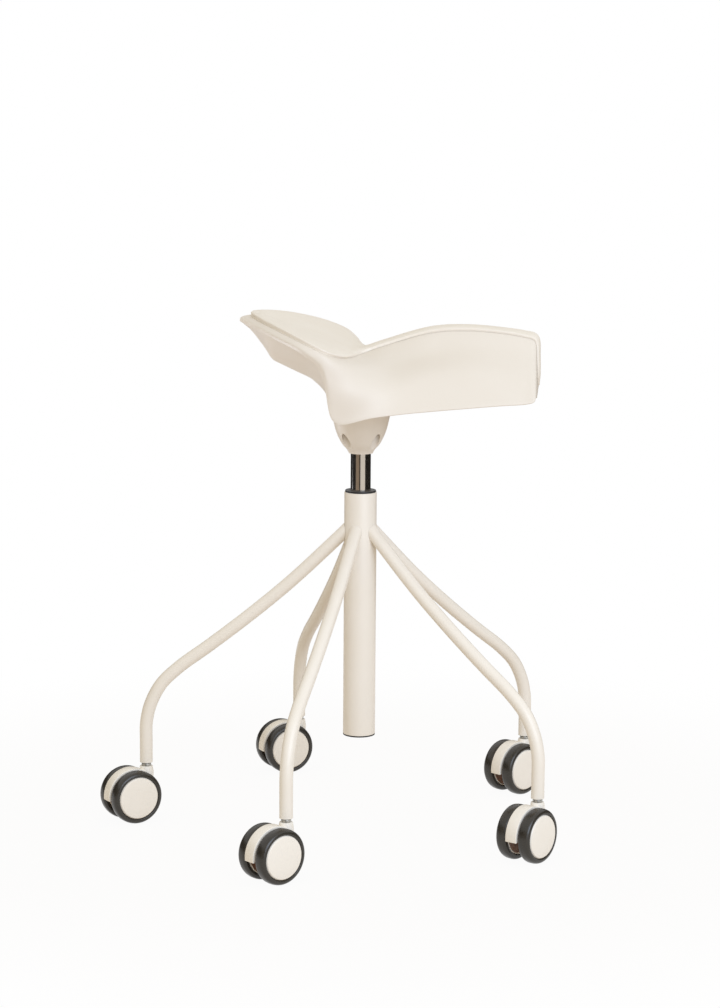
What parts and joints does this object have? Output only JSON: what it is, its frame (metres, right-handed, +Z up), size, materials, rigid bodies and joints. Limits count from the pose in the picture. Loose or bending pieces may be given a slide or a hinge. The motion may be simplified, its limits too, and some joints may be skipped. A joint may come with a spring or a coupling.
{
  "type": "saddle stool",
  "caption": "Height-adjustable saddle stool: moulded saddle seat with a soft pad on a gas spring, tall column and bent-tube legs on twin-wheel castors.",
  "frame": {"origin": "centre of the flat underside of the column's end plug, on the axis of the column, the gas spring and the seat's swivel", "axes": "+Z up along the column axis; +X towards the nose of the seat; +Y towards the seat's left side, where the release lever is"},
  "size_m": [0.6444, 0.6563, 0.7199],
  "materials": {
    "frame_paint": "satin cream powder coat",
    "cream_plastic": "fine matt moulded cream",
    "pad_skin": "soft matt integral-skin foam",
    "castor_plastic": "satin moulded cream",
    "castor_tyre": "soft grey-black tread",
    "black_plastic": "satin black",
    "dark_steel": "dark smooth metal",
    "bare_steel": "plain zinc-plated steel"
  },
  "bodies": {
    "base": {"column_tube": "frame_paint", "column_end_plug": "black_plastic", "bearing_plate": "bare_steel", "thrust_bearing": "bare_steel", "column_collar": "black_plastic", "leg_a": "frame_paint", "leg_b": "frame_paint", "leg_c": "frame_paint", "leg_d": "frame_paint", "leg_e": "frame_paint", "castor_a_stem": "bare_steel", "castor_b_stem": "bare_steel", "castor_c_stem": "bare_steel", "castor_d_stem": "bare_steel", "castor_e_stem": "bare_steel"},
    "spring_rod": {"piston_rod": "bare_steel", "retaining_clip": "bare_steel"},
    "seat": {"gas_spring": "dark_steel", "seat_mount": "dark_steel", "lever_pin": "bare_steel", "dome_housing": "cream_plastic", "mount_screw_1": "bare_steel", "mount_screw_2": "bare_steel", "mount_screw_3": "bare_steel", "mount_screw_4": "bare_steel", "under_cover": "cream_plastic", "seat_shell": "cream_plastic", "seat_pad": "pad_skin"},
    "lever": {"release_lever": "bare_steel", "lever_knob": "black_plastic"},
    "castor_a": {"castor_a_hood": "castor_plastic", "castor_a_axle": "bare_steel"},
    "wheel_a_near": {"castor_a_hub_near": "castor_plastic", "castor_a_tyre_near": "castor_tyre"},
    "wheel_a_far": {"castor_a_hub_far": "castor_plastic", "castor_a_tyre_far": "castor_tyre"},
    "castor_b": {"castor_b_hood": "castor_plastic", "castor_b_axle": "bare_steel"},
    "wheel_b_near": {"castor_b_hub_near": "castor_plastic", "castor_b_tyre_near": "castor_tyre"},
    "wheel_b_far": {"castor_b_hub_far": "castor_plastic", "castor_b_tyre_far": "castor_tyre"},
    "castor_c": {"castor_c_hood": "castor_plastic", "castor_c_axle": "bare_steel"},
    "wheel_c_near": {"castor_c_hub_near": "castor_plastic", "castor_c_tyre_near": "castor_tyre"},
    "wheel_c_far": {"castor_c_hub_far": "castor_plastic", "castor_c_tyre_far": "castor_tyre"},
    "castor_d": {"castor_d_hood": "castor_plastic", "castor_d_axle": "bare_steel"},
    "wheel_d_near": {"castor_d_hub_near": "castor_plastic", "castor_d_tyre_near": "castor_tyre"},
    "wheel_d_far": {"castor_d_hub_far": "castor_plastic", "castor_d_tyre_far": "castor_tyre"},
    "castor_e": {"castor_e_hood": "castor_plastic", "castor_e_axle": "bare_steel"},
    "wheel_e_near": {"castor_e_hub_near": "castor_plastic", "castor_e_tyre_near": "castor_tyre"},
    "wheel_e_far": {"castor_e_hub_far": "castor_plastic", "castor_e_tyre_far": "castor_tyre"}
  },
  "joints": [
    {"name": "seat_swivel", "type": "hinge", "parent": "base", "child": "spring_rod", "pos_m": [0, 0, 0.02], "axis": [0, 0, 1], "continuous": true},
    {"name": "seat_lift", "type": "slide", "parent": "spring_rod", "child": "seat", "axis": [0, 0, 1], "range_m": [-0.045, 0.08]},
    {"name": "lever_lift", "type": "hinge", "parent": "seat", "child": "lever", "pos_m": [0, 0.009, 0.4691], "axis": [1, 0, 0], "range_deg": [0, 8], "stiffness_Nm_per_rad": 2, "springref_deg": -5.73},
    {"name": "castor_a_swivel", "type": "hinge", "parent": "base", "child": "castor_a", "pos_m": [-0.29949, -0.02199, -0.0545], "axis": [0, 0, 1], "continuous": true},
    {"name": "wheel_a_near_spin", "type": "hinge", "parent": "castor_a", "child": "wheel_a_near", "pos_m": [-0.31942, -0.03626, -0.087], "axis": [-0.5821, 0.8131, 0], "continuous": true},
    {"name": "wheel_a_far_spin", "type": "hinge", "parent": "castor_a", "child": "wheel_a_far", "pos_m": [-0.31942, -0.03626, -0.087], "axis": [-0.5821, 0.8131, 0], "continuous": true},
    {"name": "castor_b_swivel", "type": "hinge", "parent": "base", "child": "castor_b", "pos_m": [-0.07163, -0.29163, -0.0545], "axis": [0, 0, 1], "continuous": true},
    {"name": "wheel_b_near_spin", "type": "hinge", "parent": "castor_b", "child": "wheel_b_near", "pos_m": [-0.08877, -0.30914, -0.087], "axis": [-0.7145, 0.6997, 0], "continuous": true},
    {"name": "wheel_b_far_spin", "type": "hinge", "parent": "castor_b", "child": "wheel_b_far", "pos_m": [-0.08877, -0.30914, -0.087], "axis": [-0.7145, 0.6997, 0], "continuous": true},
    {"name": "castor_c_swivel", "type": "hinge", "parent": "base", "child": "castor_c", "pos_m": [0.25522, -0.15824, -0.0545], "axis": [0, 0, 1], "continuous": true},
    {"name": "wheel_c_near_spin", "type": "hinge", "parent": "castor_c", "child": "wheel_c_near", "pos_m": [0.24174, -0.1787, -0.087], "axis": [-0.8348, 0.5505, 0], "continuous": true},
    {"name": "wheel_c_far_spin", "type": "hinge", "parent": "castor_c", "child": "wheel_c_far", "pos_m": [0.24174, -0.1787, -0.087], "axis": [-0.8348, 0.5505, 0], "continuous": true},
    {"name": "castor_d_swivel", "type": "hinge", "parent": "base", "child": "castor_d", "pos_m": [0.22937, 0.19383, -0.0545], "axis": [0, 0, 1], "continuous": true},
    {"name": "wheel_d_near_spin", "type": "hinge", "parent": "castor_d", "child": "wheel_d_near", "pos_m": [0.21349, 0.17517, -0.087], "axis": [-0.7615, 0.6481, 0], "continuous": true},
    {"name": "wheel_d_far_spin", "type": "hinge", "parent": "castor_d", "child": "wheel_d_far", "pos_m": [0.21349, 0.17517, -0.087], "axis": [-0.7615, 0.6481, 0], "continuous": true},
    {"name": "castor_e_swivel", "type": "hinge", "parent": "base", "child": "castor_e", "pos_m": [-0.11347, 0.27804, -0.0545], "axis": [0, 0, 1], "continuous": true},
    {"name": "wheel_e_near_spin", "type": "hinge", "parent": "castor_e", "child": "wheel_e_near", "pos_m": [-0.13477, 0.26594, -0.087], "axis": [-0.4939, 0.8695, 0], "continuous": true},
    {"name": "wheel_e_far_spin", "type": "hinge", "parent": "castor_e", "child": "wheel_e_far", "pos_m": [-0.13477, 0.26594, -0.087], "axis": [-0.4939, 0.8695, 0], "continuous": true}
  ]
}
